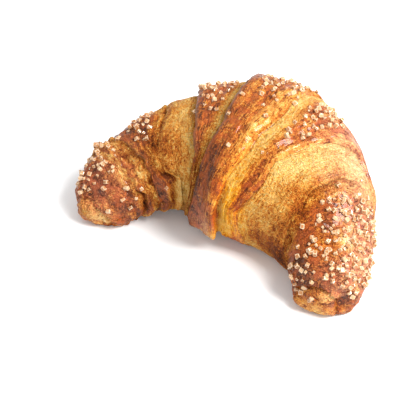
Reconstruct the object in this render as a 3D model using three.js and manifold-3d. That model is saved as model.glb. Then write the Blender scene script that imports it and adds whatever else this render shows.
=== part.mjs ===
// A croissant strewn with coarse sugar: one baked piece, a triangle of layered dough rolled up
// from its base and bent into a crescent, with the point of the triangle lying over the front.
// Millimetres, +Z up. The origin is the middle of the underside. +X runs towards the right
// horn, +Y towards the convex back, and the two horns reach forwards, towards -Y.

import * as THREE from 'three';
import Module from 'manifold-3d';

// Driving dimensions: the centreline of the crescent, seen from above
const HALF_LENGTH = { left: 86.8, right: 86.6 };
const HORN_TURN = { left: 1.54, right: 1.57 };
const TURN_GROWTH = 0.243;
const MIDDLE = { x: -0.6, y: 6.4 };

// Driving dimensions: the section at nine even stations from the left tip to the right tip
const HALF_WIDTH = [14.2, 19.4, 25.4, 33.0, 39.0, 36.3, 27.9, 19.3, 15.4];
const CREST_HEIGHT = [22.6, 31.5, 42.2, 54.2, 64.0, 61.3, 50.6, 35.6, 26.2];
const UNDERSIDE_HEIGHT = [-4.4, -3.6, 1.2, -3.0, -4.4, -4.5, -4.4, -4.3, -4.5];
const SECTION_SQUARENESS = 2.3;
const TIP_ROUNDING = { left: 0.198, right: 0.117 };
const TIP_BLUNTNESS = 2.2;

// Driving dimensions: the mesh
const ROWS = 44;
const COLUMN_STEP = 4.1;
const EDGE_OFFSETS = [0.45, 1.9];
const EDGE_SHARES = [0.14, 0.32];

// Turn round the roll, in degrees: 0 is the back, 90 the crest, 180 the front, 270 the underside
const CREST = 90;

// The wraps of the rolled triangle. Each one ends in a lip that faces its own horn, and lies over
// the wrap outside it. The lip's place along the roll, from -1 at the left tip to 1 at the right
// tip, is given at turns of 0, 60, 120, 180, 240 and 300 degrees. lip and dip are how far the
// upper wrap stands proud and the lower one sinks, and front is added to the lip at the front.
const WRAP_LIPS = [
  { faces: -1, places: [-0.962, -0.978, -0.984, -0.960, -0.910, -0.935], lip: 0.4, dip: 1.0, front: 0.5 },
  { faces: -1, places: [-0.805, -0.795, -0.755, -0.675, -0.700, -0.770], lip: 0.5, dip: 0.6, front: 0 },
  { faces: -1, places: [-0.690, -0.700, -0.640, -0.580, -0.590, -0.650], lip: 0.6, dip: 0.7, front: 0 },
  { faces: -1, places: [-0.450, -0.450, -0.525, -0.430, -0.440, -0.460], lip: 0.5, dip: 0.5, front: 0 },
  { faces: -1, places: [-0.330, -0.315, -0.305, -0.352, -0.390, -0.350], lip: 2.0, dip: 1.8, front: -0.6 },
  { faces: -1, places: [-0.150, -0.105, -0.140, -0.315, -0.260, -0.220], lip: 2.6, dip: 1.6, front: 1.0 },
  { faces: 1, places: [0.180, 0.140, 0.165, 0.090, -0.120, 0.110], lip: 1.2, dip: 1.2, front: 1.4 },
  { faces: 1, places: [0.560, 0.410, 0.360, 0.285, 0.300, 0.460], lip: 1.0, dip: 1.2, front: 0 },
  { faces: 1, places: [0.640, 0.560, 0.610, 0.670, 0.670, 0.680], lip: 0.2, dip: 0.7, front: 0.8 },
  { faces: 1, places: [0.984, 0.990, 0.989, 0.966, 0.936, 0.962], lip: 0.6, dip: 1.3, front: -0.3 },
];
const POINT_START = WRAP_LIPS.findIndex((wrap) => wrap.faces > 0);
const LIP_REACH = 9;
const DIP_REACH = 7;
const LIP_ROUNDING = 1.2;
const POINT_END = { from: 206, to: 228 };
const POINT_THICKNESS = 1.6;
const TIP_KNOB = { height: 1.5, reach: 3.5 };

// The end of the right horn: the core of the roll bulges out on its inner side, and beside it is the
// pinch where the dough was tucked in. Each is a soft bell of lift round a place on the skin.
const HORN_END_BELLS = [
  { along: 0.966, turn: 212, reachAlong: 3.4, reachRound: 12, lift: 2.4 },
  { along: 0.982, turn: 350, reachAlong: 1.8, reachRound: 5, lift: -3 },
];
const TIP_GIRTH = 0.31;
const TIP_FADE = 0.025;
const UNEVENNESS = 0.7;

// Sugar: patches on the browned skin, each with its middle (along the roll, and turn round it),
// its reach each way in millimetres, and the number of coarse grains in it
const SUGAR_PATCHES = [
  { along: -0.83, turn: 80, reachAlong: 10, reachRound: 22, grains: 20 },
  { along: -0.80, turn: 168, reachAlong: 11, reachRound: 6, grains: 5 },
  { along: -0.55, turn: 76, reachAlong: 8, reachRound: 17, grains: 13 },
  { along: -0.23, turn: 66, reachAlong: 7, reachRound: 22, grains: 12 },
  { along: 0.02, turn: 70, reachAlong: 8, reachRound: 28, grains: 17 },
  { along: 0.29, turn: 72, reachAlong: 7, reachRound: 19, grains: 12 },
  { along: 0.60, turn: 70, reachAlong: 8, reachRound: 22, grains: 18 },
  { along: 0.83, turn: 88, reachAlong: 12, reachRound: 37, grains: 48 },
];
const GRAIN_SIZE = { largest: 3.3, smallest: 2.3 };
const GRAIN_SINK = 0.28;
const CORNER_WEAR = 0.4;
const GOLDEN_ANGLE = Math.PI * (3 - Math.sqrt(5));

const CRUST_COLOUR = 0xb9752f;
const CRUST_ROUGHNESS = 0.55;

const radians = THREE.MathUtils.degToRad;
const ramp = THREE.MathUtils.smoothstep;

// A steady draw between 0 and 1 for a whole number, the same each time
function draw(seed) {
  const wave = Math.sin(seed * 12.9898) * 43758.5453;
  return wave - Math.floor(wave);
}

// The smooth curve through four neighbouring values, share of the way from the second to the third
function between(before, from, to, after, share) {
  const rise = to - before;
  const bend = 2 * before - 5 * from + 4 * to - after;
  const twist = 3 * from - before - 3 * to + after;
  return 0.5 * (2 * from + share * (rise + share * (bend + share * twist)));
}

// A value at a place along the roll, from values at even stations between the tips
function atStation(values, along) {
  const last = values.length - 1;
  const place = THREE.MathUtils.clamp((along + 1) / 2, 0, 1) * last;
  const index = Math.min(Math.floor(place), last - 1);
  const before = values[Math.max(index - 1, 0)];
  const after = values[Math.min(index + 2, last)];
  return between(before, values[index], values[index + 1], after, place - index);
}

// A value at a turn round the roll, from values at even turns
function atTurn(values, turn) {
  const place = THREE.MathUtils.euclideanModulo(turn / 360, 1) * values.length;
  const index = Math.floor(place);
  const value = (step) => values[(index + step + values.length) % values.length];
  return between(value(-1), value(0), value(1), value(2), place - index);
}

// The way that the centreline heads: along +X in the middle, turning forwards to each tip
function headingAt(along) {
  const turn = along < 0 ? HORN_TURN.left : HORN_TURN.right;
  return (-turn * along * (1 + TURN_GROWTH * along * along)) / (1 + TURN_GROWTH);
}

// The centreline as points at even steps, summed from the middle to each tip
function layCentreline(stepsToTip) {
  const points = new Map([[0, new THREE.Vector2(0, 0)]]);
  for (const side of [-1, 1]) {
    const stepLength = (side < 0 ? HALF_LENGTH.left : HALF_LENGTH.right) / stepsToTip;
    for (let step = 1; step <= stepsToTip; step += 1) {
      const heading = headingAt((side * (step - 0.5)) / stepsToTip);
      const previous = points.get(side * (step - 1));
      const travel = new THREE.Vector2(Math.cos(heading), Math.sin(heading));
      points.set(side * step, travel.multiplyScalar(side * stepLength).add(previous));
    }
  }
  return points;
}

const CENTRELINE_STEPS = 200;
const centreline = layCentreline(CENTRELINE_STEPS);

function centreAt(along) {
  const place = along * CENTRELINE_STEPS;
  const index = Math.max(-CENTRELINE_STEPS, Math.min(CENTRELINE_STEPS - 1, Math.floor(place)));
  return centreline.get(index).clone().lerp(centreline.get(index + 1), place - index);
}

// How far into a rounded tip a place is: 0 at the start of the rounding, 1 at the very tip
function tipDepth(along) {
  const left = 1 - (1 + along) / TIP_ROUNDING.left;
  const right = 1 - (1 - along) / TIP_ROUNDING.right;
  return THREE.MathUtils.clamp(Math.max(left, right), 0, 1);
}

const swell = (wave) => Math.sign(wave) * Math.abs(wave) ** (2 / SECTION_SQUARENESS);

// A point of the skin, lifted outwards by lift and never below the surface that it rests on
function skinPoint(along, turn, lift) {
  const heading = headingAt(along);
  const centre = centreAt(along);
  const depth = tipDepth(along);
  const narrowing = Math.sqrt(1 - depth ** TIP_BLUNTNESS);
  const crest = atStation(CREST_HEIGHT, along);
  const underside = atStation(UNDERSIDE_HEIGHT, along);
  const outX = swell(Math.cos(radians(turn)));
  const outZ = swell(Math.sin(radians(turn)));
  const sideways = narrowing * atStation(HALF_WIDTH, along) * outX;
  const upwards = (crest + underside) / 2 + (narrowing * (crest - underside) * outZ) / 2;
  const liftAcross = lift * Math.sqrt(1 - depth * depth);
  const liftAlong = lift * depth * Math.sign(along);
  const across = sideways + liftAcross * Math.cos(radians(turn));
  return new THREE.Vector3(
    MIDDLE.x + centre.x - across * Math.sin(heading) + liftAlong * Math.cos(heading),
    MIDDLE.y + centre.y + across * Math.cos(heading) + liftAlong * Math.sin(heading),
    Math.max(0, upwards + liftAcross * Math.sin(radians(turn))),
  );
}

// Millimetres of skin for one unit along the roll, at a place on it
function skinScale(along, turn) {
  const span = 0.01;
  const inner = THREE.MathUtils.clamp(along, span - 1, 1 - span);
  const from = skinPoint(inner - span, turn, 0);
  return from.distanceTo(skinPoint(inner + span, turn, 0)) / (2 * span);
}

// How strongly a wrap shows at a turn: in full on the sides and top, hardly at all underneath
function showing(turn) {
  const fromUnderside = Math.abs(THREE.MathUtils.euclideanModulo(turn - CREST, 360) - 180);
  return ramp(fromUnderside, 20, 55) * 0.85 + 0.15;
}

// How much of the front a turn is: 1 where the point of the triangle lies, 0 at the crest and back
const frontness = (turn) => ramp(turn, 125, 185) * (1 - ramp(turn, POINT_END.from, POINT_END.to));

const lipHeight = (wrap, turn) => showing(turn) * wrap.lip + frontness(turn) * wrap.front;

// The lift of a wrap near its own lip, rounded over at the edge and sinking away from it
function lipLift(wrap, turn, distance) {
  const rounding = 0.35 * Math.exp(-distance / LIP_ROUNDING);
  return lipHeight(wrap, turn) * (Math.exp(-((distance / LIP_REACH) ** 2)) - rounding);
}

// The lift of a wrap where the next one lies over it
function dipLift(wrap, turn, distance) {
  return -showing(turn) * wrap.dip * Math.exp(-distance / DIP_REACH);
}

// Slow swells of the whole skin, so that no two stretches are alike
function unevenness(along, turn) {
  const round = radians(turn);
  const wave = Math.sin(9.1 * along + 2 * round) + Math.sin(14.3 * along - round + 1.7)
    + Math.sin(5 * round + 6 * along);
  return (UNEVENNESS * wave) / 3;
}

// The point of the triangle lies over the wraps below as a tongue, and ends at the foot of the front
function tongueLift(turn) {
  return POINT_THICKNESS * frontness(turn);
}

// The end of the roll's core stands out of each tip as a small round knob
function knobLift(distance) {
  return TIP_KNOB.height * (1 - Math.exp(-distance / TIP_KNOB.reach));
}

// The bells of lift at the end of the right horn, faded out towards the very tip
function hornEndLift(along, turn) {
  const bells = HORN_END_BELLS.map((bell) => {
    const across = ((along - bell.along) * HALF_LENGTH.right) / bell.reachAlong;
    const turnApart = THREE.MathUtils.euclideanModulo(turn - bell.turn + 180, 360) - 180;
    const around = (turnApart * TIP_GIRTH) / bell.reachRound;
    return bell.lift * Math.exp(-across * across - around * around);
  });
  return bells.reduce((sum, lift) => sum + lift) * ramp(1 - along, 0, TIP_FADE);
}

// The wraps between one lip and the next, as places and lifts across one row of the mesh
function bandAcross(index, turn) {
  const startWrap = WRAP_LIPS[index - 1];
  const endWrap = WRAP_LIPS[index];
  const start = startWrap ? atTurn(startWrap.places, turn) : -1;
  const end = endWrap ? atTurn(endWrap.places, turn) : 1;
  const width = end - start;
  const offsets = (place) => EDGE_OFFSETS.map((offset, order) =>
    Math.min(offset / skinScale(place, turn), EDGE_SHARES[order] * width));
  const near = startWrap ? offsets(start).map((offset) => start + offset) : [];
  const far = endWrap ? offsets(end).map((offset) => end - offset).reverse() : [];
  const from = near.at(-1) ?? start;
  const to = far[0] ?? end;
  const inner = bandColumns[index];
  const middle = Array.from({ length: inner }, (_, step) => {
    const share = (step + 1) / (inner + 1);
    if (!startWrap) return from + (to - from) * share * share;
    if (!endWrap) return to - (to - from) * (1 - share) * (1 - share);
    return from + (to - from) * share;
  });
  const isTongue = index === POINT_START;
  return [...near, ...middle, ...far].map((along) => {
    let lift = unevenness(along, turn) + hornEndLift(along, turn) + (isTongue ? tongueLift(turn) : 0);
    for (const [wrap, place, side] of [[startWrap, start, -1], [endWrap, end, 1]]) {
      if (!wrap) continue;
      const distance = Math.abs(along - place) * skinScale(along, turn);
      lift += wrap.faces === side ? lipLift(wrap, turn, distance) : dipLift(wrap, turn, distance);
      if (!startWrap || !endWrap) lift += knobLift(distance);
    }
    return { along, lift };
  });
}

// Columns inside each band, so that they are an even step apart along the crest
const bandColumns = Array.from({ length: WRAP_LIPS.length + 1 }, (_, index) => {
  const start = WRAP_LIPS[index - 1] ? atTurn(WRAP_LIPS[index - 1].places, CREST) : -1;
  const end = WRAP_LIPS[index] ? atTurn(WRAP_LIPS[index].places, CREST) : 1;
  return Math.max(1, Math.round(((end - start) * HALF_LENGTH.left) / COLUMN_STEP) - 1);
});

// The whole skin as a closed mesh: rows round the roll, closed by one point at each tip
function skinMesh() {
  const rows = Array.from({ length: ROWS }, (_, row) => {
    const turn = (360 * row) / ROWS;
    return bandColumns.flatMap((_, index) => bandAcross(index, turn))
      .map(({ along, lift }) => skinPoint(along, turn, lift));
  });
  const columns = rows[0].length;
  const tips = [-1, 1].map((along) => skinPoint(along, CREST, TIP_KNOB.height));
  const points = [...tips, ...rows.flat()];
  const vertex = (row, column) => 2 + (row % ROWS) * columns + column;
  const triangles = [];
  for (let row = 0; row < ROWS; row += 1) {
    triangles.push(0, vertex(row + 1, 0), vertex(row, 0));
    for (let column = 0; column < columns - 1; column += 1) {
      const corner = vertex(row, column);
      const beside = vertex(row, column + 1);
      const above = vertex(row + 1, column);
      const across = vertex(row + 1, column + 1);
      triangles.push(corner, across, beside, corner, above, across);
    }
    triangles.push(1, vertex(row, columns - 1), vertex(row + 1, columns - 1));
  }
  return { vertProperties: new Float32Array(points.flatMap((point) => point.toArray())),
    triVerts: new Uint32Array(triangles) };
}

// The lift of the finished skin at one place, from the band that it lies in
function liftAt(along, turn) {
  const index = WRAP_LIPS.filter((wrap) => atTurn(wrap.places, turn) < along).length;
  const columns = bandAcross(index, turn);
  const next = columns.findIndex((column) => column.along > along);
  if (next <= 0) return columns.at(next).lift;
  const from = columns[next - 1];
  const to = columns[next];
  return THREE.MathUtils.mapLinear(along, from.along, to.along, from.lift, to.lift);
}

// The grains of a patch in the even spiral of a sunflower's seeds, the largest in the middle
function grainPlaces(patch, patchNumber) {
  const { along, turn, reachAlong, reachRound, grains } = patch;
  const perTurn = (skinPoint(along, turn - 5, 0).distanceTo(skinPoint(along, turn + 5, 0))) / 10;
  return Array.from({ length: grains }, (_, order) => {
    const reach = Math.sqrt((order + 0.5) / grains);
    const angle = order * GOLDEN_ANGLE + patchNumber;
    return {
      along: along + (reach * Math.cos(angle) * reachAlong) / skinScale(along, turn),
      turn: turn + (reach * Math.sin(angle) * reachRound) / perTurn,
      size: THREE.MathUtils.lerp(GRAIN_SIZE.largest, GRAIN_SIZE.smallest, order / grains),
      seed: 100 * patchNumber + order,
    };
  });
}

// A grain of sugar: a block with uneven corners, turned at random and partly sunk into the skin
function grainMesh({ along, turn, size, seed }) {
  const geometry = new THREE.BoxGeometry(size, size * (0.75 + 0.3 * draw(seed)), size);
  const corners = geometry.getAttribute('position');
  const unevenCorner = (corner) => {
    const number = (corner.x > 0) * 4 + (corner.y > 0) * 2 + (corner.z > 0);
    const shrink = (axis) => 1 - CORNER_WEAR * draw(8 * seed + number + 0.13 * axis);
    return corner.multiply(new THREE.Vector3(shrink(1), shrink(2), shrink(3)));
  };
  const lift = liftAt(along, turn);
  const place = skinPoint(along, turn, lift + size * (0.5 - GRAIN_SINK));
  const outwards = place.clone().sub(skinPoint(along, turn, lift - size)).normalize();
  const settle = new THREE.Quaternion().setFromUnitVectors(new THREE.Vector3(0, 0, 1), outwards);
  const spin = new THREE.Euler(0.5 * draw(seed + 0.2), 0.5 * draw(seed + 0.4), 7 * draw(seed + 0.6));
  settle.multiply(new THREE.Quaternion().setFromEuler(spin));
  const points = [];
  const seen = new Map();
  const triangles = Array.from(geometry.index.array, (entry) => {
    const corner = new THREE.Vector3().fromBufferAttribute(corners, entry);
    const key = corner.toArray().map(Math.sign).join();
    if (!seen.has(key)) {
      seen.set(key, seen.size);
      points.push(unevenCorner(corner).applyQuaternion(settle).add(place));
    }
    return seen.get(key);
  });
  return { vertProperties: new Float32Array(points.flatMap((point) => point.toArray())),
    triVerts: new Uint32Array(triangles) };
}

const wasm = await Module();
wasm.setup();

const solidOf = (mesh) => new wasm.Manifold(new wasm.Mesh({ numProp: 3, ...mesh }));

// The bread and its grains, fused into one solid
function bakeCroissant() {
  let bread = solidOf(skinMesh());
  SUGAR_PATCHES.forEach((patch, patchNumber) => {
    grainPlaces(patch, patchNumber).forEach((place) => {
      bread = bread.add(solidOf(grainMesh(place)));
    });
  });
  return bread.getMesh();
}

function geometryOf({ vertProperties, triVerts }) {
  const geometry = new THREE.BufferGeometry();
  geometry.setAttribute('position', new THREE.BufferAttribute(vertProperties, 3));
  geometry.setIndex(new THREE.BufferAttribute(triVerts, 1));
  geometry.computeVertexNormals();
  return geometry;
}

const crust = new THREE.MeshStandardMaterial({
  color: CRUST_COLOUR,
  roughness: CRUST_ROUGHNESS,
  metalness: 0,
});

const croissant = new THREE.Mesh(geometryOf(bakeCroissant()), crust);
croissant.name = 'croissant';

const group = new THREE.Group();
group.add(croissant);

export default group;
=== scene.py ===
import bpy
import numpy as np
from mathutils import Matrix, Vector


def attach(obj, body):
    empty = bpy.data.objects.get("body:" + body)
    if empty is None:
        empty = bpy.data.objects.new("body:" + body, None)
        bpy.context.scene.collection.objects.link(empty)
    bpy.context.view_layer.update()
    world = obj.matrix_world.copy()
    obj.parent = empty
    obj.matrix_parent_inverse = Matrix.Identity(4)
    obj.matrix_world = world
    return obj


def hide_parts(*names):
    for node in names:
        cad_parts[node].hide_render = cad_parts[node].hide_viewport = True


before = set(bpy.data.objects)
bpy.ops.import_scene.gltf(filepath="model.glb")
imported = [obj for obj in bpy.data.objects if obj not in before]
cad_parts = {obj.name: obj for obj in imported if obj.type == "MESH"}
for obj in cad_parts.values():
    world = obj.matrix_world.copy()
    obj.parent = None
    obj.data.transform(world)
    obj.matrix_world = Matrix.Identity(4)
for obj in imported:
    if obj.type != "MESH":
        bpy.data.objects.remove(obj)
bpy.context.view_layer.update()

# The bread
# One triangle of rich yeast dough, rolled up from its base and bent into a crescent, with the
# point of the triangle lying over the front as a flap. Egg wash browns the raised wraps; where
# the oven pulls the wraps apart, the bare layers between them stay pale.

# The crescent in millimetres: its centreline's length from the middle to each tip, the turn of
# each horn in radians and how much of it comes late, the middle's place, and the half width and
# the heights of crest and underside at nine even stations from the left tip to the right
MM = 0.001
HALF_LENGTH = {-1: 86.8, 1: 86.6}
HORN_TURN = {-1: 1.54, 1: 1.57}
TURN_GROWTH = 0.243
MIDDLE = (-0.6, 6.4)
HALF_WIDTH = [14.2, 19.4, 25.4, 33.0, 39.0, 36.3, 27.9, 19.3, 15.4]
CREST_HEIGHT = [22.6, 31.5, 42.2, 54.2, 64.0, 61.3, 50.6, 35.6, 26.2]
UNDERSIDE_HEIGHT = [-4.4, -3.6, 1.2, -3.0, -4.4, -4.5, -4.4, -4.3, -4.5]

# The powers of the superellipses of its section and its tips, and how far along the tips reach
SECTION_SQUARENESS = 2.3
TIP_ROUNDING = {-1: 0.198, 1: 0.117}
TIP_BLUNTNESS = 2.2

# The mesh: rows round the roll from the underside, and columns along it, shared out by the wraps'
# widths near the crest, with more of them crowded towards the tips
UNDERSIDE = 270
NEAR_CREST = 110
ROWS = 256
COLUMNS = 280
TIP_COLUMNS = 3
TIP_CROWDING = 1.6


def at_station(values, along):
    """The smooth curve through values at even stations between the tips (Catmull-Rom), read at
    along, from -1 at the left tip to 1 at the right tip."""
    values = np.asarray(values, float)
    last = len(values) - 1
    place = np.clip((along + 1) / 2, 0, 1) * last
    index = np.minimum(place.astype(int), last - 1)
    share = place - index
    before, start = values[np.maximum(index - 1, 0)], values[index]
    end, after = values[index + 1], values[np.minimum(index + 2, last)]
    rise, bend = end - before, 2 * before - 5 * start + 4 * end - after
    twist = 3 * start - before - 3 * end + after
    return 0.5 * (2 * start + share * (rise + share * (bend + share * twist)))


def heading_at(along):
    """The centreline heads along +X in the middle and turns forwards to each tip, ever faster."""
    turn = np.where(along < 0, HORN_TURN[-1], HORN_TURN[1])
    return -turn * along * (1 + TURN_GROWTH * along**2) / (1 + TURN_GROWTH)


def centre_at(along):
    """The centreline, summed over fine steps of its heading from the middle to each tip."""
    steps = np.linspace(-1, 1, 801)
    middles = (steps[1:] + steps[:-1]) / 2
    lengths = np.where(middles < 0, HALF_LENGTH[-1], HALF_LENGTH[1]) * np.diff(steps)
    line = []
    for travel, origin in zip((np.cos, np.sin), MIDDLE):
        summed = np.concatenate([[0], np.cumsum(travel(heading_at(middles)) * lengths)])
        line.append(np.interp(along, steps, summed - summed[len(steps) // 2] + origin))
    return line


def skin(along, turn, lift):
    """Points of the skin in millimetres. A section is a superellipse round the centreline, narrowed
    to nothing over each rounded tip and lifted outwards. Turn is in degrees: 0 is the back, 90 the
    crest, 180 the front and 270 the underside, which can dip below the table here and is clipped to
    it where the finished skin is built."""
    heading = heading_at(along)
    centre_x, centre_y = centre_at(along)
    left, right = 1 - (1 + along) / TIP_ROUNDING[-1], 1 - (1 - along) / TIP_ROUNDING[1]
    depth = np.clip(np.maximum(left, right), 0, 1)
    narrowing = np.sqrt(1 - depth**TIP_BLUNTNESS)
    crest, underside = at_station(CREST_HEIGHT, along), at_station(UNDERSIDE_HEIGHT, along)
    cosine, sine = np.cos(np.radians(turn)), np.sin(np.radians(turn))
    out_x, out_z = (np.sign(w) * np.abs(w) ** (2 / SECTION_SQUARENESS) for w in (cosine, sine))
    lift_across = lift * np.sqrt(1 - depth**2)
    lift_along = lift * depth * np.sign(along)
    across = narrowing * at_station(HALF_WIDTH, along) * out_x + lift_across * cosine
    height = (crest + underside + narrowing * (crest - underside) * out_z) / 2 + lift_across * sine
    x = centre_x - across * np.sin(heading) + lift_along * np.cos(heading)
    y = centre_y + across * np.cos(heading) + lift_along * np.sin(heading)
    return np.stack(np.broadcast_arrays(x, y, height), axis=-1)


def ramp(value, start, end):
    """A soft step from 0 at start to 1 at end."""
    share = np.clip((value - start) / (end - start), 0, 1)
    return share * share * (3 - 2 * share)


# Large odd numbers that scatter the random draws of a lattice, one row for each of its directions
LATTICE_STRIDES = np.array([[127.1, 269.5, 113.5], [311.7, 183.3, 271.9], [74.7, 246.1, 124.6]])
SCATTER = 43758.5


def mottle(points, size, seed):
    """Smooth random values from -1 to 1: every corner of a lattice of cells of that size draws a
    value, and a point blends the corners of its cell."""
    cell = points / size
    base = np.floor(cell)
    share = cell - base
    share = share * share * (3 - 2 * share)
    strides = LATTICE_STRIDES[: points.shape[-1], 0]
    total = 0
    for corner in np.ndindex((2,) * points.shape[-1]):
        wave = np.sin((base + corner) @ strides + 17.3 * seed) * SCATTER
        weight = np.prod(np.where(corner, share, 1 - share), axis=-1)
        total = total + weight * (wave - np.floor(wave))
    return 2 * total - 1


def cells(points, size, seed):
    """Distances to the nearest and the second nearest of points strewn one to a lattice cell, in
    cell sizes, and a random level from 0 to 1 for each nearest point. The first distance gives
    round blisters, their difference a net of thin walls, and the level a field of flakes."""
    cell = points / size
    base = np.floor(cell)
    strides = LATTICE_STRIDES[: cell.shape[-1]]
    nearest, second = np.full(base.shape[:-1], 9.0), np.full(base.shape[:-1], 9.0)
    level = np.zeros(base.shape[:-1])
    for step in np.ndindex((3,) * cell.shape[-1]):
        node = base + step - 1
        draws = np.modf(np.abs(np.sin(node @ strides + seed)) * SCATTER)[0]
        distance = np.linalg.norm(cell - node - draws[..., : cell.shape[-1]], axis=-1)
        level = np.where(distance < nearest, draws.mean(axis=-1), level)
        second = np.minimum(second, np.maximum(nearest, distance))
        nearest = np.minimum(nearest, distance)
    return nearest, second, level


# Where each wrap ends: its lip's line over the skin as {turn: along}, the horn that it faces, and
# how far it stands proud and the wrap outside it sinks. front is added to the lip at the front,
# ends is the turn beyond which the lip melts into the skin, and the number just before the line
# says how the lip's edge is painted: above 0 darker, a baked edge, and on top also greyer, a
# painted sheen; below 0 lighter, a painted highlight.
WRAPS = [
    dict(faces=-1, lip=0.4, dip=1.0, front=0.5, dry=0.2, line={
        0: -0.962, 60: -0.978, 120: -0.986, 165: -0.976, 184: -0.958, 200: -0.925, 240: -0.910,
        300: -0.935}),
    dict(faces=-1, lip=0.4, dip=0.4, front=0.0, dry=0.0, line={
        0: -0.805, 60: -0.795, 90: -0.762, 127: -0.760, 152: -0.742, 177: -0.680, 240: -0.700,
        300: -0.770}),
    dict(faces=-1, lip=0.5, dip=0.5, front=0.0, dry=0.2, line={
        0: -0.690, 60: -0.700, 97: -0.662, 114: -0.642, 148: -0.630, 169: -0.610, 190: -0.570,
        300: -0.650}),
    dict(faces=-1, lip=0.5, dip=0.5, front=0.0, dry=0.0, line={
        0: -0.450, 70: -0.458, 87: -0.490, 98: -0.528, 139: -0.530, 147: -0.510, 152: -0.460, 158: -0.395,
        190: -0.395, 240: -0.440, 300: -0.460}),
    dict(faces=-1, lip=2.0, dip=1.8, front=-0.6, dry=0.8, line={
        0: -0.330, 60: -0.318, 100: -0.318, 140: -0.295, 165: -0.320, 192: -0.360, 240: -0.390,
        300: -0.350}),
    dict(faces=-1, lip=2.6, dip=1.6, front=1.0, dry=1.0, line={
        0: -0.150, 67: -0.105, 110: -0.110, 130: -0.170, 146: -0.212, 169: -0.262, 180: -0.306, 192: -0.338,
        204: -0.340, 214: -0.318, 224: -0.270, 236: -0.215, 300: -0.220}),
    dict(faces=1, lip=1.2, dip=1.2, front=1.4, dry=-0.3, line={
        0: 0.180, 60: 0.140, 100: 0.178, 139: 0.162, 150: 0.140, 164: 0.110, 176: 0.078, 190: 0.066,
        204: 0.035, 214: -0.020, 224: -0.100, 236: -0.165, 260: -0.120, 300: 0.110}),
    dict(faces=1, lip=1.0, dip=1.2, front=0.9, ends=172, dry=-0.9, line={
        0: 0.590, 30: 0.540, 45: 0.445, 66: 0.400, 106: 0.376, 121: 0.352, 142: 0.385, 160: 0.352,
        176: 0.280, 240: 0.290, 300: 0.460}),
    dict(faces=1, lip=0.0, dip=0.3, front=0.9, dry=0.0, line={
        0: 0.640, 45: 0.575, 75: 0.550, 106: 0.575, 124: 0.622, 153: 0.680, 240: 0.670, 300: 0.680}),
    dict(faces=1, lip=0.6, dip=1.3, front=-0.3, dry=0.0, line={
        0: 0.985, 45: 0.990, 90: 0.991, 135: 0.988, 160: 0.981, 185: 0.962, 225: 0.936, 260: 0.940,
        300: 0.962, 330: 0.980}),
]

# The bands of skin between the lips, numbered from 0 at the left tip
LEFT_HORN = (1, 2, 3)
PALE_SHOULDER = 4
FLAP = 6
RIGHT_OF_FLAP = 7
BELLY = 8

# In millimetres how far a lip's swell and the dip outside it reach, the flap's thickness, the knob
# at each tip and the ring round which a lip's roughness changes; also the turns where the flap's
# end thins out, and the least way along from one lip to the next
LIP_REACH = 9
DIP_REACH = 7
FLAP_THICKNESS = 1.6
FLAP_END = (206, 228)
KNOB_HEIGHT = 1.5
KNOB_REACH = 3.5
RING_RADIUS = 30
LEAST_SPACING = 0.022

# A lip from the wrap below it up over its edge: millimetres inwards from the lip's line where it
# stands high and overhangs its foot, the same where it lies low and only slopes, and the share of
# the step that the skin has climbed there; then the steps that count as low and as high
LIP_PROFILE = np.array([
    (-2.2, -2.6, 0), (-1.1, -1.7, 0), (-0.2, -1.0, 0.06), (0.5, -0.5, 0.2), (0.75, -0.1, 0.36),
    (0.3, 0.3, 0.52), (0.0, 0.7, 0.68), (0.25, 1.2, 0.86), (0.9, 1.8, 0.97), (2.0, 2.6, 1)])
HIGH_STEP = (1.6, 3.2)


def even_turns(count):
    """Turns of the rows, from the underside all the way round, fewer of them underneath."""
    fine = np.linspace(UNDERSIDE, UNDERSIDE + 360, 3601)
    wanted = 1 - 0.55 * (1 - ramp(180 - np.abs(fine - UNDERSIDE - 180), 20, 50))
    summed = np.concatenate([[0], np.cumsum((wanted[1:] + wanted[:-1]) / 2)])
    return np.interp(np.arange(count) / count, summed / summed[-1], fine)


turns = even_turns(ROWS)
turn = turns[:, None]
from_underside = 180 - np.abs((turns - UNDERSIDE) % 360 - 180)
showing = 0.15 + 0.85 * ramp(from_underside, 20, 55)
round_turn = turns % 360
frontness = ramp(round_turn, 125, 185) * (1 - ramp(round_turn, *FLAP_END))
ring = np.stack([np.cos(np.radians(turns)), np.sin(np.radians(turns))], -1) * RING_RADIUS


def scale_at(along):
    """Millimetres of skin for one unit along the roll."""
    inner = np.clip(along, -0.995, 0.995)
    return np.linalg.norm(skin(inner + 0.005, turn, 0) - skin(inner - 0.005, turn, 0), axis=-1) / 0.01


def lip_line(wrap, number):
    """The lip's place at each row: its line smoothed round the roll, and made a little ragged."""
    degrees = np.arange(360)
    rough = np.interp(degrees, list(wrap["line"]), list(wrap["line"].values()), period=360)
    bell = np.exp(-(((degrees + 180) % 360 - 180) / 5.0) ** 2)
    smooth = np.fft.ifft(np.fft.fft(rough) * np.fft.fft(bell / bell.sum())).real
    ragged = 0.9 * mottle(ring, 7, 10 + number) + 0.45 * mottle(ring, 2.4, 30 + number)
    line = np.interp(turns, degrees, smooth, period=360)
    return line + ragged / np.maximum(HALF_LENGTH[1], scale_at(line[:, None])[:, 0])


lines = np.array([lip_line(wrap, number) for number, wrap in enumerate(WRAPS)])
for upper in range(1, len(lines)):
    lines[upper] = np.maximum(lines[upper], lines[upper - 1] + LEAST_SPACING)
spans = np.concatenate([np.full((1, ROWS), -1.0), lines, np.full((1, ROWS), 1.0)])


def lip_strength(wrap, number):
    """How much of a lip's height shows at each row: little underneath, none beyond its end, and
    uneven along the lip."""
    melts = ramp(round_turn, wrap.get("ends", 400), wrap.get("ends", 400) + 22)
    return showing * (1 - 0.85 * melts) * (1 + 0.22 * mottle(ring, 9, 50 + number))


strengths = [lip_strength(wrap, number) for number, wrap in enumerate(WRAPS)]


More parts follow.
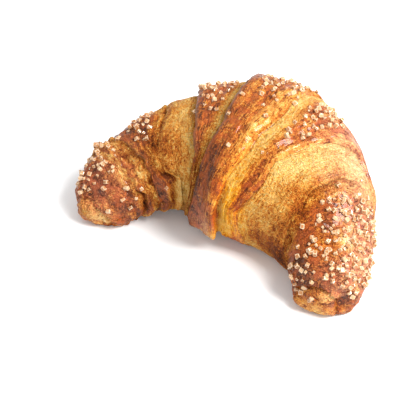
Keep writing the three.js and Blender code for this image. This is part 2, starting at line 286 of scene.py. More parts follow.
def band_lift(band, along):
    """The lift of one wrap's skin: it stands proud at its own lip, sinks where the next wrap lies
    over it, swells to a knob at the tips, and is thicker at the front of the flap."""
    lift = np.zeros(np.broadcast_shapes(along.shape, turn.shape))
    scale = scale_at(along)
    for number, side in ((band - 1, -1), (band, 1)):
        if not 0 <= number < len(WRAPS):
            continue
        wrap = WRAPS[number]
        distance = np.abs(along - lines[number][:, None]) * scale
        height = (strengths[number] * (wrap["lip"] + frontness * wrap["front"]))[:, None]
        if wrap["faces"] == side:
            lift += height * np.exp(-((distance / LIP_REACH) ** 2))
        else:
            lift -= (strengths[number] * wrap["dip"])[:, None] * np.exp(-distance / DIP_REACH)
        if band in (0, len(WRAPS)):
            lift += KNOB_HEIGHT * (1 - np.exp(-distance / KNOB_REACH))
    if band == FLAP:
        lift += (FLAP_THICKNESS * frontness)[:, None]
    return lift


def lip_columns(number):
    """Columns over one lip: their places along the roll, spread by the lip's profile as far as the
    wraps leave room, and their lifts, which climb from the lower wrap's to the upper one's."""
    wrap = WRAPS[number]
    line = lines[number][:, None]
    inwards = -wrap["faces"]
    above, below = (number + 1, number) if inwards > 0 else (number, number + 1)
    room = np.minimum(spans[number + 2] - spans[number + 1], spans[number + 1] - spans[number])[:, None]
    step = band_lift(above, line) - band_lift(below, line)
    standing = ramp(step, *HIGH_STEP)
    distance = standing * LIP_PROFILE[:, 0] + (1 - standing) * LIP_PROFILE[:, 1]
    offsets = distance / scale_at(line)
    offsets *= np.minimum(1, 0.3 * room / np.abs(offsets).max(axis=1, keepdims=True))
    places = line + inwards * offsets
    low, high = band_lift(below, places), band_lift(above, places)
    lifts = low + LIP_PROFILE[:, 2] * (high - low)
    order = slice(None, None, inwards)
    return places[:, order], lifts[:, order]


def band_columns(band, count):
    """Even columns over one wrap, between the columns of its two lips."""
    start, end = spans[band][:, None], spans[band + 1][:, None]
    if band > 0:
        start = lips[band - 1][0][:, -1:]
    if band < len(WRAPS):
        end = lips[band][0][:, :1]
    share = (np.arange(count) + 1) / (count + 1)
    if band == 0:
        share = share**TIP_CROWDING
    if band == len(WRAPS):
        share = 1 - (1 - share) ** TIP_CROWDING
    places = start + (end - start) * share
    return places, band_lift(band, places)


lips = [lip_columns(number) for number in range(len(WRAPS))]
crest_row = np.argmin(np.abs(round_turn - NEAR_CREST))
widths = np.diff(spans[:, crest_row])
widths[[0, -1]] = widths[[0, -1]] * TIP_COLUMNS
counts = np.maximum(6, np.round(COLUMNS * widths / widths.sum())).astype(int)
along_parts, lift_parts, band_parts = [], [], []
for band, count in enumerate(counts):
    places, lifts = band_columns(band, count)
    along_parts.append(places)
    lift_parts.append(lifts)
    band_parts.append(np.full(count, band))
    if band < len(WRAPS):
        places, lifts = lips[band]
        along_parts.append(places)
        lift_parts.append(lifts)
        inner = band + 1 if WRAPS[band]["faces"] < 0 else band
        outer = band if WRAPS[band]["faces"] < 0 else band + 1
        band_parts.append(np.where(LIP_PROFILE[:: -WRAPS[band]["faces"], 2] > 0.1, inner, outer))
along = np.concatenate(along_parts, axis=1)
lift = np.concatenate(lift_parts, axis=1)
band_of = np.concatenate(band_parts)

# Where each place of the skin lies in its wrap: millimetres from the wrap's own lip and from the
# foot of the next wrap that lies over it, and its place in a flow that follows both lips. The flap
# lies on top with a lip on each side, so the nearer one counts as its own.
FAR = 30
FLOW_PER_DEGREE = 0.45
FLOW_BETWEEN_BANDS = 37.0
start = spans[band_of].T
end = spans[band_of + 1].T
scale = scale_at(along)
from_start, to_end = (along - start) * scale, (end - along) * scale
lip_at_start = np.array([False] + [wrap["faces"] < 0 for wrap in WRAPS])
own_at_start = np.where(band_of == FLAP, from_start < to_end, lip_at_start[band_of])
own_lip = np.where(own_at_start, from_start, to_end)
next_lip = np.where(band_of == FLAP, FAR, np.where(own_at_start, to_end, from_start))
mean_width = ((spans[1:] - spans[:-1]) * HALF_LENGTH[1]).mean(axis=1)
share_across = (along - start) / (end - start)
flow_along = share_across * mean_width[band_of] + FLOW_BETWEEN_BANDS * band_of
flow = np.stack([flow_along, np.broadcast_to(turn * FLOW_PER_DEGREE, along.shape)], axis=-1)
points = skin(along, turn, lift)
from_tip = np.minimum(1 + along, 1 - along)
off_tip = ramp(from_tip, 0.05, 0.20)

# Browning of the skin of each wrap, from 0 for bare dough to 1 for the darkest crust, the
# browning of the bare layer at the next wrap's foot, and how wide that layer is
SKIN_BROWNING = np.array([0.42, 0.64, 0.60, 0.64, 0.26, 0.62, 0.62, 0.56, 0.26, 0.61, 0.36])
BARE_BROWNING = np.array([0.45, 0.50, 0.38, 0.30, 0.30, 0.30, 0.60, 0.16, 0.18, 0.44, 0.50])
BARE_WIDTH = np.array([1.0, 3.5, 5.0, 6.5, 4.0, 5.5, 1.0, 6.5, 9.0, 6.0, 1.0])
LOW_BROWNING = 0.42
TRAY_BROWNING = 0.58

# Places where the skin is browner or paler: along the roll, turn round it, reach each way in
# millimetres, and the change of browning. Most are where the oven caught it more or less. Those
# that darken the belly's lower front edge, its meeting with the right horn, the shaded side of the
# right horn and the pinch at its tip are painted shade; those that pale the flap's shaded end, painted
# light.
BROWNING_AND_SHADING_PATCHES = [
    (-0.97, 182, 4, 16, -0.30), (-0.93, 45, 6, 14, -0.10), (-0.93, 84, 4, 10, 0.12),
    (-0.89, 108, 4, 7, 0.02), (-0.88, 136, 5, 8, -0.10), (-0.85, 165, 9, 6, 0.10),
    (-0.83, 130, 4, 8, -0.22), (-0.74, 100, 6, 16, -0.20), (-0.70, 124, 5, 8, -0.14),
    (-0.52, 108, 8, 26, 0.26), (-0.52, 186, 7, 7, 0.18), (-0.45, 182, 6, 8, -0.24),
    (-0.36, 172, 5, 10, -0.06), (-0.33, 182, 4, 8, -0.12), (-0.24, 160, 3, 14, 0.28),
    (-0.10, 148, 6, 14, 0.22), (-0.10, 200, 9, 8, -0.14), (-0.07, 116, 5, 8, -0.14),
    (-0.04, 86, 6, 9, -0.16), (-0.02, 207, 9, 7, -0.40), (0.03, 200, 3, 6, -0.22),
    (0.09, 154, 4, 8, 0.20), (0.09, 114, 6, 18, -0.20), (0.10, 212, 9, 10, 0.20),
    (0.12, 206, 4, 7, -0.10), (0.13, 70, 4, 16, -0.12), (0.16, 172, 5, 16, -0.12),
    (0.30, 164, 3, 9, 0.16), (0.36, 84, 6, 13, -0.03), (0.37, 60, 9, 14, -0.02),
    (0.38, 140, 4, 9, 0.12), (0.40, 155, 7, 10, 0.18), (0.41, 120, 7, 11, -0.18),
    (0.44, 188, 9, 10, 0.14), (0.50, 52, 9, 14, -0.12), (0.58, 198, 15, 6, 0.46),
    (0.61, 112, 6, 9, 0.26), (0.64, 184, 5, 7, 0.35), (0.66, 142, 4, 14, 0.14),
    (0.75, 124, 5, 7, 0.06), (0.77, 70, 6, 8, -0.24), (0.82, 56, 15, 17, -0.12),
    (0.84, 98, 5, 12, -0.14), (0.88, 20, 8, 12, -0.12), (0.91, 138, 9, 13, 0.25),
    (0.95, 95, 6, 9, -0.04), (0.97, 300, 5, 6, 0.12), (0.980, 352, 2.4, 6, 0.55),
    (0.99, 25, 3, 10, -0.12), (0.995, 270, 5, 11, -0.40),
]

# Where the colour is made brighter and more saturated, a painted light, strongest in the folds by
# the flap and on its end where they lie in shade; and below 0 where it is made paler and greyer, a
# painted sheen: the same five numbers
PAINTED_LIGHT_AND_SHEEN = [
    (0.20, 178, 11, 24, 1.2), (0.12, 213, 10, 11, 1.1), (0.02, 202, 7, 7, 0.8),
    (-0.12, 198, 12, 9, -0.9), (0.66, 110, 8, 12, 0.3), (0.84, 96, 6, 12, 0.5),
    (0.50, 50, 20, 18, -0.9), (0.86, 45, 15, 20, -0.8), (-0.88, 100, 15, 26, -0.35),
    (-0.99, 180, 5, 20, -0.3),
]


def round_per_degree(place):
    """Millimetres of skin for one degree round the roll: 0.6 in its middle, 0.3 at its tips."""
    return 0.3 + 0.3 * np.cos(np.pi / 2 * place)


def patch_field(patches):
    """The sum of soft round patches on the skin, each a bell in millimetres along and round."""
    total = np.zeros(along.shape)
    for place, at_turn, reach_along, reach_round, change in patches:
        across = (along - place) * HALF_LENGTH[1] / reach_along
        around = ((turn - at_turn + 180) % 360 - 180) * round_per_degree(place) / reach_round
        total += change * np.exp(-(across**2) - around**2)
    return total


# The browning: each wrap's own, fading to that of the bare layer along the next wrap's frayed
# foot. The flap's right side is paler, and the belly's edge, the patches and the lips' edges change
# it further; some patches add painted shade and painted light, and the lips' edges darken where
# baked and lighten as a painted highlight. Low down and underneath it nears a browning of its own.
frayed = next_lip + 1.6 * mottle(flow / (3, 6), 1, 21) + 0.9 * mottle(flow / (0.9, 4), 1, 22)
bare = 1 - ramp(frayed / BARE_WIDTH[band_of], 0.5, 1.7)
pale_wraps = np.isin(band_of, (PALE_SHOULDER, BELLY))
bareness = np.clip(np.maximum(bare * (band_of != FLAP), pale_wraps * 0.85), 0, 1)
browning = SKIN_BROWNING[band_of] + (BARE_BROWNING - SKIN_BROWNING)[band_of] * bare
above_end = (1 - ramp(round_turn, 165, 190))[:, None]
browning = browning - 0.22 * (band_of == FLAP) * ramp(share_across, 0.45, 0.95) * above_end
browning = browning + 0.13 * (band_of == BELLY) * np.exp(-own_lip / 5)
# Some of the patches are painted shade and painted light, as listed with them
browning = browning + patch_field(BROWNING_AND_SHADING_PATCHES)
# Each lip's edge: above 0 darker, a baked edge; below 0 lighter, a painted highlight
lip_bake_and_sheen = np.array([0.0] + [wrap["dry"] for wrap in WRAPS] + [0.0])
edge_bake_and_sheen_field = lip_bake_and_sheen[np.where(own_at_start, band_of, band_of + 1)]
edge_bake_and_sheen_field = edge_bake_and_sheen_field * ramp(mottle(points, 6, 12), -0.9, 0.3) * off_tip
browning = browning + 0.25 * np.exp(-((own_lip / 2.4) ** 2)) * edge_bake_and_sheen_field
low = 1 - ramp(points[..., 2], 2, 13)
browning = browning + (LOW_BROWNING - browning) * 0.6 * low * (frontness < 0.9)[:, None]
beneath = (1 - ramp(from_underside, 35, 50)[:, None]) * ramp(from_tip, 0.02, 0.07)
browning = browning + (TRAY_BROWNING - browning) * beneath
# On top of the roll the darker lips' edges also turn grey: a painted sheen
on_top = (1 - ramp(round_turn, 115, 150) * (round_turn < 300))[:, None]
dry_edge = np.exp(-((own_lip / 1.7) ** 2)) * np.clip(edge_bake_and_sheen_field, 0, 1) * on_top

# Bulges of the roll's core in the right horn and of the flap's end, and below 0 pinches where the
# dough was folded in: the same five numbers, the last in millimetres of lift
BULGES_AND_PINCHES = [
    (0.966, 212, 3.4, 12, 2.4), (0.978, 352, 3.2, 11, -5.0), (-0.975, 75, 1.6, 14, -0.9),
    (0.71, 156, 2.5, 5, -1.6), (0.05, 214, 5, 6, 1.2),
]

# Fine relief of the crust in millimetres: slow swells, folds, strands and thin torn layers pulled
# out along the wraps, creases, lumps at the tips, flakes and blisters on the browned skin, and a
# net of fine fibres on the bare layers. The last number of each mottle or cells is its seed.
swells = 0.6 * mottle(points, 17, 1) + 0.4 * mottle(points, 8, 2) + 0.25 * mottle(points, 3.5, 3)
wavy = flow + np.stack([1.6 * mottle(points, 7, 24), np.zeros(along.shape)], -1)
strands = mottle(wavy / (2.4, 10), 1, 4) + 0.6 * mottle(wavy / (1.3, 6), 1, 5)
# How strongly each wrap is creased
CREASING = np.array([0.8, 1.4, 1.4, 1.2, 0.35, 0.6, 0.5, 0.4, 0.3, 0.9, 0.8])
creases = np.exp(-((mottle(wavy / (3.2, 14), 1, 25) / 0.22) ** 2)) * off_tip
creases = creases + np.exp(-((mottle(points, 5, 27) / 0.16) ** 2)) * (1 - off_tip)
creases = creases * ramp(mottle(points, 5, 26), -0.7, 0.2) * CREASING[band_of]
lumps = (0.9 * mottle(points, 6, 28) + 0.7 * mottle(points, 3, 29)) * (1 - off_tip)
on_horn = np.isin(band_of, LEFT_HORN)
fold_height = 0.25 + 0.65 * on_horn + 0.25 * np.isin(band_of, (FLAP, RIGHT_OF_FLAP))
folds = mottle(flow / (4.5, 30), 1, 14) * fold_height
folds = folds + 1.2 * mottle(wavy / (3.2, 15), 1, 31) * np.isin(band_of, LEFT_HORN[:2])
folds = folds * off_tip
strand_height = 0.20 + 0.12 * bare + 0.40 * on_horn
# Lighter on raised strands and folds, darker in creases: painted light and painted shade
browning = browning - (0.28 * strand_height * strands + 0.10 * folds) * off_tip + 0.12 * creases
layers = np.sin(2 * np.pi * own_lip / 1.7 + 2 * mottle(flow / (4, 12), 1, 8)) * np.exp(-own_lip / 3.5)
nearest, second, _ = cells(points, 3.0, 6)
net = np.exp(-(((second - nearest) / 0.14) ** 2))
flakes = cells(flow / (1, 2.2), 3.2, 9)[2] - 0.5
blisters = np.clip(0.5 - cells(points, 2.4, 7)[0], 0, None) * 2
crumbs = mottle(points, 1.4, 11)
torn = strand_height * strands + 0.16 * layers * (band_of != PALE_SHOULDER) + 0.10 * crumbs
scaly = (0.5 * flakes + 0.25 * blisters) * (1 - 0.7 * bareness)
fine = torn * off_tip + lumps - 0.6 * creases + 0.14 * net * bareness + scaly
relief = swells + folds + fine + patch_field(BULGES_AND_PINCHES)
lift = lift + ramp(from_tip, 0, 0.025) * relief

grid = skin(along, turn, lift)
grid[..., 2] = np.maximum(grid[..., 2], 0)
tips = np.array([skin(np.float64(side), 90.0, KNOB_HEIGHT) for side in (-1.0, 1.0)])


def closed_skin(name, grid, tips):
    """A mesh of quads between neighbouring rows and columns, closed round the roll, with a fan of
    triangles to each tip."""
    rows, columns = grid.shape[:2]
    row, column = np.mgrid[0:rows, 0 : columns - 1]
    above = (row + 1) % rows
    corners = [row * columns + column, above * columns + column]
    corners += [above * columns + column + 1, row * columns + column + 1]
    quads = np.stack(corners, axis=-1).reshape(-1, 4)
    ring = np.arange(rows)
    following = (ring + 1) % rows
    last = columns - 1
    left_tip, right_tip = np.full(rows, rows * columns), np.full(rows, rows * columns + 1)
    left = np.stack([left_tip, following * columns, ring * columns], -1)
    right = np.stack([right_tip, ring * columns + last, following * columns + last], -1)
    faces = quads.tolist() + left.tolist() + right.tolist()
    mesh = bpy.data.meshes.new(name)
    mesh.from_pydata(np.concatenate([grid.reshape(-1, 3), tips]) * MM, [], faces)
    mesh.polygons.foreach_set("use_smooth", np.ones(len(faces), bool))
    mesh.update()
    piece = bpy.data.objects.new(name, mesh)
    bpy.context.scene.collection.objects.link(piece)
    return piece


def paint(piece, name, values, tip_values):
    """Stores one number for each vertex of the skin, under a name that the crust's material reads."""
    field = piece.data.attributes.new(name, "FLOAT", "POINT")
    field.data.foreach_set("value", np.concatenate([values.ravel(), tip_values]).astype(np.float32))


def lay_flow_map(piece):
    """A UV map in metres that runs along the roll and round it, so that strands follow the wraps.
    Each corner takes its row's own turn, and a whole round more where the last row meets the first."""
    loops = np.empty(len(piece.data.loops), np.int32)
    piece.data.loops.foreach_get("vertex_index", loops)
    counts = np.empty(len(piece.data.polygons), np.int32)
    piece.data.polygons.foreach_get("loop_total", counts)
    owners = np.repeat(np.arange(len(counts)), counts)
    places = np.concatenate([flow.reshape(-1, 2), [[-HALF_LENGTH[-1], 0], [HALF_LENGTH[1], 0]]])[loops]
    tall = np.zeros(len(counts))
    np.maximum.at(tall, owners, places[:, 1])
    seam = (places[:, 1] < tall[owners] - 200 * FLOW_PER_DEGREE) & (loops < flow.size // 2)
    places[:, 1] += seam * 360 * FLOW_PER_DEGREE
    layer = piece.data.uv_layers.new(name="flow")
    layer.data.foreach_set("uv", (places * MM).ravel().astype(np.float32))


bread = closed_skin("croissant_bread", grid, tips)
# The browning, with the painted shade and light that patches, creases and lips' edges add
paint(bread, "browning", np.clip(browning, 0.07, 1), [0.4, 0.4])
paint(bread, "bareness", bareness, [0.0, 0.0])
# The grey painted sheen along the lips' edges
paint(bread, "dry_edge", dry_edge, [0.0, 0.0])
paint(bread, "off_tip", off_tip, [0.0, 0.0])
# The painted light in the shaded folds above 0, and the painted sheen below 0
paint(bread, "golden", np.clip(patch_field(PAINTED_LIGHT_AND_SHEEN), -1, 1), [0.0, 0.0])
lay_flow_map(bread)
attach(bread, "root")
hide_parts("croissant")


class Shade:
    """A socket of a material's node tree. Arithmetic on it adds Math nodes."""

    def __init__(self, tree, socket=None):
        self.tree = tree
        self.socket = socket

    def node(self, kind, settings=None, inputs=None, output=0):
        """Adds one node: its settings first, then the value or link of each socket."""
        added = self.tree.nodes.new(kind)
        for name, value in (settings or {}).items():
            if name == "stops":
                self.set_stops(added.color_ramp, value)
            else:
                setattr(added, name, value)
        for name, value in (inputs or {}).items():
            if isinstance(value, Shade):
                self.tree.links.new(value.socket, added.inputs[name])
            else:
                added.inputs[name].default_value = value
        return Shade(self.tree, added.outputs[output])

    def stored(self, name):
        """The number that the mesh stores under this name."""
        return self.node("ShaderNodeAttribute", {"attribute_name": name}, output="Fac")

    def set_stops(self, band, stops):
        """Gives a colour band these stops: a position from 0 to 1 and a colour each."""
        for _ in stops[2:]:
            band.elements.new(0.5)
        for element, (position, colour) in zip(band.elements, stops):
            element.position = position
            element.color = (*colour, 1)

    def maths(self, operation, first, second):
        """One Math node on two numbers or sockets."""
        return self.node("ShaderNodeMath", {"operation": operation}, {0: first, 1: second})

    def __add__(self, other):
        return self.maths("ADD", self, other)

    def __sub__(self, other):
        return self.maths("SUBTRACT", self, other)

    def __rsub__(self, other):
        return self.maths("SUBTRACT", other, self)

    def __mul__(self, other):
        return self.maths("MULTIPLY", self, other)

    __radd__ = __add__
    __rmul__ = __mul__

    def ramp(self, start, end):
        """A soft step from 0 at start to 1 at end."""
        inputs = {"Value": self, "From Min": start, "From Max": end}
        return self.node("ShaderNodeMapRange", {"interpolation_type": "SMOOTHSTEP"}, inputs)

    def mix(self, first, second):
        """A colour between two others, by this value."""
        inputs = {"Factor": self, 6: first, 7: second}  # sockets 6, 7 and 2 are those for colours
        return self.node("ShaderNodeMix", {"data_type": "RGBA"}, inputs, output=2)

    def toned(self, hue, saturation, value):
        """This colour with its hue turned from 0.5, and its saturation and value multiplied."""
        inputs = {"Color": self, "Hue": hue, "Saturation": saturation, "Value": value}
        return self.node("ShaderNodeHueSaturation", None, inputs)

    def stretch(self, scale):
        """These coordinates, each multiplied by its own number."""
        return self.node("ShaderNodeMapping", None, {"Vector": self, "Scale": scale})

    def noise(self, size, detail=2.0, roughness=0.5):
        """Cloudy values from 0 to 1, their patches about as wide as size."""
        inputs = {"Vector": self, "Scale": 1 / size, "Detail": detail, "Roughness": roughness}
        return self.node("ShaderNodeTexNoise", None, inputs)

    def threads(self, size, width):
        """Thin winding lines, where cloudy values of that size pass their middle."""
        height = self.node("ShaderNodeMath", {"operation": "ABSOLUTE"}, {0: self.noise(size, 1) - 0.5})
        return 1 - height.ramp(0.0, width)

    def levels(self, size):
        """A random value for each of a field of cells about as wide as size."""
        inputs = {"Vector": self, "Scale": 1 / size}
        cells = self.node("ShaderNodeTexVoronoi", None, inputs, output="Color")
        return self.node("ShaderNodeSeparateColor", None, {"Color": cells})


def new_material(name):
    """A material with one principled shader, and that shader's node."""
    material = bpy.data.materials.new(name)
    material.use_nodes = True
    return material, material.node_tree.nodes["Principled BSDF"]


# Crust colours from bare, steamed dough to the darkest edge of the egg wash
CRUST_COLOURS = [
    (0.00, (0.70, 0.45, 0.150)),
    (0.15, (0.64, 0.334, 0.072)),
    (0.32, (0.54, 0.212, 0.033)),
    (0.50, (0.37, 0.100, 0.010)),
    (0.66, (0.21, 0.045, 0.005)),
    (0.82, (0.11, 0.024, 0.004)),
    (1.00, (0.06, 0.016, 0.005)),
]
ROSY_COLOUR = (0.46, 0.095, 0.016, 1)
FLECK_COLOUR = (0.60, 0.29, 0.09, 1)
# The grey of the painted sheen along the lips' edges
SHEEN_COLOUR = (0.31, 0.130, 0.048, 1)
GOLDEN_HUE = 0.492

crust, crust_shader = new_material("crust")
crust_nodes = Shade(crust.node_tree)
place = crust_nodes.node("ShaderNodeTexCoord", output="Object")
flow_place = crust_nodes.node("ShaderNodeUVMap", {"uv_map": "flow"})
# The browning with its painted shade and light
brown_and_shade = crust_nodes.stored("browning")
bare_skin = crust_nodes.stored("bareness")
dry = crust_nodes.stored("dry_edge")
golden = crust_nodes.stored("golden")
drawn_out = crust_nodes.stored("off_tip")
washed = 1 - bare_skin

# Patterns: strands drawn out along the wraps, clouds of browning, specks, chips of flaky skin,
# pits, fibres on the bare layers, wrinkles at the tips and cracks on the rest
drawn = flow_place.stretch((1, 0.14, 1))
strand = (drawn.noise(1.5 * MM, 3, 0.6) + drawn.noise(0.7 * MM, 2, 0.6) * 0.6 - 0.8) * drawn_out
cloud = place.noise(8 * MM, 3, 0.6) + place.noise(3.2 * MM, 2, 0.5) * washed * 0.5 - 0.5 - washed * 0.25
speck = (place.noise(1.3 * MM, 3, 0.65) - 0.5) * 0.9
chip = (flow_place.stretch((1, 0.5, 1)).levels(1.5 * MM) - 0.5) * drawn_out * washed
pit = (place.noise(0.6 * MM, 1, 0.5) - 0.5) * 1.4
fine_fibre = place.stretch((1.3, 1, 0.8)).threads(1.4 * MM, 0.04)
fibre = (place.threads(2.6 * MM, 0.035) + fine_fibre * 0.7) * bare_skin
patchy = place.noise(2.5 * MM, 1).ramp(0.45, 0.6)
wrinkle = place.threads(2.6 * MM, 0.07) * patchy * (1 - drawn_out * 0.8)
crack = flow_place.stretch((1, 0.22, 1)).threads(2.2 * MM, 0.05) * patchy * drawn_out

height = strand * 1.1 + speck * 0.8 + chip * 0.22 + pit * 0.45 + fibre * 0.5
height = height - crack * 0.6 - wrinkle * 0.8
# Darker where the bump sinks and lighter where it rises: painted shade and light on the relief
unevenly = brown_and_shade + cloud * 0.72 - strand * (0.68 - bare_skin * 0.2) - speck * 0.85 - pit * 0.5
unevenly = unevenly + chip * 0.12 - fibre * 0.26 + crack * (0.22 - bare_skin * 0.14) + wrinkle * 0.16
flecks = (pit + speck).ramp(0.14, 0.40) * washed
colour = unevenly.node("ShaderNodeValToRGB", {"stops": CRUST_COLOURS}, {"Fac": unevenly})
rosy = place.noise(4 * MM, 2).ramp(0.44, 0.62) * washed * brown_and_shade.ramp(0.35, 0.55)
colour = (rosy * 0.5).mix(colour, ROSY_COLOUR)
colour = (flecks * 0.35).mix(colour, FLECK_COLOUR)
# Brighter and more saturated under the painted light, paler and greyer under the painted sheen
painted_fold_light = colour.toned(GOLDEN_HUE, 1.14, 1.36)
painted_sheen = colour.toned(GOLDEN_HUE, 0.80, 1.04)
colour = (golden * 0.9).mix(colour, painted_fold_light)
colour = (golden * -0.9).mix(colour, painted_sheen)
# Greyer along the lips' edges on top: a painted sheen
colour = (dry * 0.65).mix(colour, SHEEN_COLOUR)
bump = crust_nodes.node("ShaderNodeBump", None, {"Height": height, "Strength": 1.0, "Distance": MM})
links = crust.node_tree.links
links.new(colour.socket, crust_shader.inputs["Base Color"])
links.new((0.6 + speck * 0.4 - washed * 0.1).socket, crust_shader.inputs["Roughness"])
links.new((washed * 0.28).socket, crust_shader.inputs["Coat Weight"])
links.new(bump.socket, crust_shader.inputs["Normal"])
crust_shader.inputs["Coat Roughness"].default_value = 0.13
crust_shader.inputs["Specular IOR Level"].default_value = 0.06
crust_shader.inputs["Subsurface Weight"].default_value = 0.12
crust_shader.inputs["Subsurface Radius"].default_value = (1.0, 0.4, 0.12)
crust_shader.inputs["Subsurface Scale"].default_value = 0.0025
bread.data.materials.append(crust)

# The sugar
# Coarse crystals of baking sugar, strewn on the egg wash before the oven. Each is a block with
# worn edges, partly clear and amber from the crust, and sits sunk by nearly a third in the skin.

# Where it lies thickest: along the roll, turn round it, reach each way in millimetres, and number
# of grains; then the strays, the stretch of roll that they lie on, and their mean turn and spread
SUGAR_PATCHES = [
    (-0.84, 64, 10, 18, 46), (-0.80, 158, 13, 9, 8), (-0.55, 70, 8, 16, 34), (-0.23, 62, 7, 20, 36),
    (0.06, 58, 9, 18, 46), (0.27, 72, 7, 15, 44), (0.63, 56, 8, 17, 56), (0.80, 54, 14, 23, 112),
    (0.90, 112, 8, 20, 22), (0.972, 170, 3, 8, 9),
]
STRAY_GRAINS = 70
STRAY_ALONG = (-0.95, 0.97)
STRAY_TURN = (80, 42)

# The smallest and the largest grain in millimetres, the share of one that is sunk, how far its
# sides are stretched and its corners shifted, the bareness above which few hold and the share that
# do, and how far the skin may lean over and still hold one
GRAIN_SIZE = (1.0, 2.4)
GRAIN_SINK = 0.3
GRAIN_STRETCH = (0.72, 1.12)
GRAIN_JITTER = 0.18
BARE_LIMIT = 0.6
SHARE_ON_BARE = 0.12
STEEPEST_SEAT = -0.2
GOLDEN_ANGLE = np.pi * (3 - np.sqrt(5))
CHAMFER = 0.66
draws = np.random.default_rng(11)


def worn_block():
    """A cube of half width 1 with its edges and corners cut off: each of the 26 directions with
    whole steps of -1, 0 or 1 owns the face of the corners that reach furthest along it."""
    corners = []
    for axis in range(3):
        for signs in np.ndindex(2, 2, 2):
            corner = (2 * np.array(signs) - 1) * CHAMFER
            corner[axis] = np.sign(corner[axis])
            corners.append(corner)
    corners = np.array(corners)
    faces = []
    for step in np.ndindex(3, 3, 3):
        outwards = np.array(step) - 1.0
        if not outwards.any():
            continue
        reach = corners @ outwards
        owned = np.flatnonzero(reach > reach.max() - 0.01)
        middle = corners[owned].mean(axis=0)
        spokes = corners[owned] - middle
        first = spokes[0]
        second = np.cross(outwards, first)
        rise, run = spokes @ second / np.linalg.norm(second), spokes @ first / np.linalg.norm(first)
        faces.append(owned[np.argsort(np.arctan2(rise, run))])
    return corners, faces


def strew():
    """Places of the grains: in each patch the even spiral of a sunflower's seeds, a little shaken,
    and strays anywhere on the upper skin."""
    places = []
    for number, (place, at_turn, reach_along, reach_round, count) in enumerate(SUGAR_PATCHES):
        order = np.arange(count)
        reach = np.sqrt((order + 0.5) / count) * (1 + 0.3 * draws.random(count) ** 2)
        angle = order * GOLDEN_ANGLE + number + 0.25 * draws.random(count)
        shake = draws.normal(0, 0.5, (2, count))
        grain_along = reach * np.cos(angle) * reach_along + shake[0]
        grain_round = reach * np.sin(angle) * reach_round + shake[1]
        grain_turn = at_turn + grain_round / round_per_degree(place)
        places.append(np.stack([place + grain_along / HALF_LENGTH[1], grain_turn], -1))
    stray_along = draws.uniform(*STRAY_ALONG, STRAY_GRAINS)
    places.append(np.stack([stray_along, draws.normal(*STRAY_TURN, STRAY_GRAINS)], -1))
    return np.concatenate(places)


def set_on_skin(places):
    """The nearest point of the finished skin to each place, the way out of the skin there, and the
    point's row and column."""
    rows = np.abs((places[:, 1:] - turns + 180) % 360 - 180).argmin(axis=1)
    columns = np.abs(along[rows] - places[:, :1]).argmin(axis=1)
    columns = np.clip(columns, 1, along.shape[1] - 2)
    across = grid[rows, columns + 1] - grid[rows, columns - 1]
    upwards = grid[(rows + 2) % ROWS, columns] - grid[rows - 2, columns]
    outwards = np.cross(upwards, across)
    outwards = outwards / np.linalg.norm(outwards, axis=-1, keepdims=True)
    return grid[rows, columns], outwards, rows, columns


def crystals(name, places):
    """All grains as one mesh: the worn block stretched, jittered, turned at random by a unit
    quaternion and set into the skin."""
    seats, outwards, rows, columns = set_on_skin(places)
    bared = bareness[rows, columns] > BARE_LIMIT
    kept = (~bared | (draws.random(len(places)) < SHARE_ON_BARE)) & (outwards[:, 2] > STEEPEST_SEAT)
    seats, outwards = seats[kept], outwards[kept]
    count = len(seats)
    block, faces = worn_block()
    sizes = GRAIN_SIZE[0] + (GRAIN_SIZE[1] - GRAIN_SIZE[0]) * draws.beta(2.2, 1.6, count)
    stretch = sizes[:, None] / 2 * draws.uniform(*GRAIN_STRETCH, (count, 3))
    jitter = 1 + draws.uniform(-GRAIN_JITTER, GRAIN_JITTER, (count, len(block), 1))
    shape = block * jitter * stretch[:, None]
    quaternions = draws.normal(0, 1, (4, count))
    w, x, y, z = quaternions / np.linalg.norm(quaternions, axis=0)
    rotation = np.array([
        [1 - 2 * (y * y + z * z), 2 * (x * y - z * w), 2 * (x * z + y * w)],
        [2 * (x * y + z * w), 1 - 2 * (x * x + z * z), 2 * (y * z - x * w)],
        [2 * (x * z - y * w), 2 * (y * z + x * w), 1 - 2 * (x * x + y * y)],
    ]).transpose(2, 0, 1)
    centres = seats + outwards * (sizes * (0.5 - GRAIN_SINK))[:, None]
    corners = np.einsum("nij,nkj->nki", rotation, shape) + centres[:, None]
    mesh = bpy.data.meshes.new(name)
    all_faces = [(face + len(block) * number).tolist() for number in range(count) for face in faces]
    mesh.from_pydata(corners.reshape(-1, 3) * MM, [], all_faces)
    mesh.update()
    # The worn faces, which carry a painted highlight
    worn = np.array([np.ptp(block[face], axis=0).min() > 0.01 for face in faces])
    rim = mesh.attributes.new("rim", "FLOAT", "FACE")
    rim.data.foreach_set("value", np.tile(worn, count).astype(np.float32))
    tone = mesh.attributes.new("tone", "FLOAT", "POINT")
    tone.data.foreach_set("value", np.repeat(draws.random(count), len(block)).astype(np.float32))
    piece = bpy.data.objects.new(name, mesh)
    bpy.context.scene.collection.objects.link(piece)
    return piece


sugar = crystals("sugar_grains", strew())
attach(sugar, "root")
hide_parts("croissant")

# From dark amber grains, partly the crust's brown painted in as seen through them, to pale dry
# ones, and a painted highlight on the worn rims
SUGAR_COLOURS = [(0.0, (0.34, 0.12, 0.03)), (0.5, (0.58, 0.27, 0.10)), (1.0, (0.88, 0.58, 0.32))]
RIM_HIGHLIGHT_COLOUR = (0.94, 0.71, 0.47, 1)
sugar_finish, sugar_shader = new_material("sugar")
sugar_nodes = Shade(sugar_finish.node_tree)
clouding = sugar_nodes.node("ShaderNodeTexCoord", output="Object").noise(0.7 * MM, 2)
clearness = sugar_nodes.stored("tone") * 0.7 + clouding * 0.4
colour = sugar_nodes.node("ShaderNodeValToRGB", {"stops": SUGAR_COLOURS}, {"Fac": clearness})
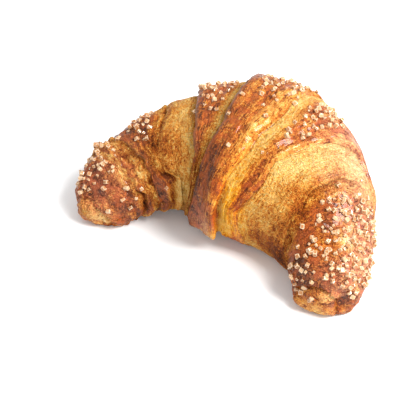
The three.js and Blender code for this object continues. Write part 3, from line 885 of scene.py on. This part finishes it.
# A painted highlight on the worn rims
colour = (sugar_nodes.stored("rim") * 0.7).mix(colour, RIM_HIGHLIGHT_COLOUR)
sugar_finish.node_tree.links.new(colour.socket, sugar_shader.inputs["Base Color"])
sugar_shader.inputs["Roughness"].default_value = 0.1
sugar_shader.inputs["Transmission Weight"].default_value = 0.35
sugar_shader.inputs["IOR"].default_value = 1.5
sugar.data.materials.append(sugar_finish)

# The table
# The flat surface that the croissant lies on: one plain pale sheet, 3 m wide. It glows faintly,
# which keeps the croissant's soft shadow light.

TABLE_REACH = 1.5
TABLE_COLOUR = (0.85, 0.85, 0.85, 1)
TABLE_GLOW = 0.06
corners = np.array([(-1, -1, 0), (1, -1, 0), (1, 1, 0), (-1, 1, 0)]) * TABLE_REACH
table_mesh = bpy.data.meshes.new("table")
table_mesh.from_pydata(corners, [], [(0, 1, 2, 3)])
table = bpy.data.objects.new("table", table_mesh)
bpy.context.scene.collection.objects.link(table)
table_paint = bpy.data.materials.new("table")
table_paint.use_nodes = True
table_shader = table_paint.node_tree.nodes["Principled BSDF"]
table_shader.inputs["Base Color"].default_value = TABLE_COLOUR
table_shader.inputs["Emission Color"].default_value = (1, 1, 1, 1)
table_shader.inputs["Emission Strength"].default_value = TABLE_GLOW
table.data.materials.append(table_paint)

# The light and the camera
# A soft lamp high on the right, even light from all round, and a camera that looks down on the
# front of the croissant from the right of its middle.

CAMERA_TURN = np.radians(28.4)
CAMERA_RISE = np.radians(44)
CAMERA_DISTANCE = 0.6
CAMERA_TARGET = Vector((-0.0059, -0.0253, 0.020))
LENS = 112.3

outwards = np.array([np.sin(CAMERA_TURN), -np.cos(CAMERA_TURN)]) * np.cos(CAMERA_RISE)
towards = Vector((*outwards, np.sin(CAMERA_RISE)))
camera_data = bpy.data.cameras.new("camera")
camera_data.lens = LENS
camera_data.sensor_width = 36
camera = bpy.data.objects.new("camera", camera_data)
camera.location = CAMERA_TARGET + towards * CAMERA_DISTANCE
camera.rotation_euler = towards.to_track_quat("Z", "Y").to_euler()
bpy.context.scene.collection.objects.link(camera)
bpy.context.scene.camera = camera

KEY_PLACE = Vector((0.46, 0.0, 0.62))
KEY_POWER = 11.2
KEY_SIZE = 0.36
key_data = bpy.data.lights.new("key", "AREA")
key_data.energy = KEY_POWER
key_data.size = KEY_SIZE
key = bpy.data.objects.new("key", key_data)
key.location = KEY_PLACE
key.rotation_euler = (KEY_PLACE - CAMERA_TARGET).to_track_quat("Z", "Y").to_euler()
bpy.context.scene.collection.objects.link(key)

DAYLIGHT = 0.92
world = bpy.data.worlds.new("daylight")
world.use_nodes = True
background = world.node_tree.nodes["Background"]
background.inputs["Color"].default_value = (1, 1, 1, 1)
background.inputs["Strength"].default_value = DAYLIGHT
bpy.context.scene.world = world
bpy.context.scene.view_settings.view_transform = "Standard"
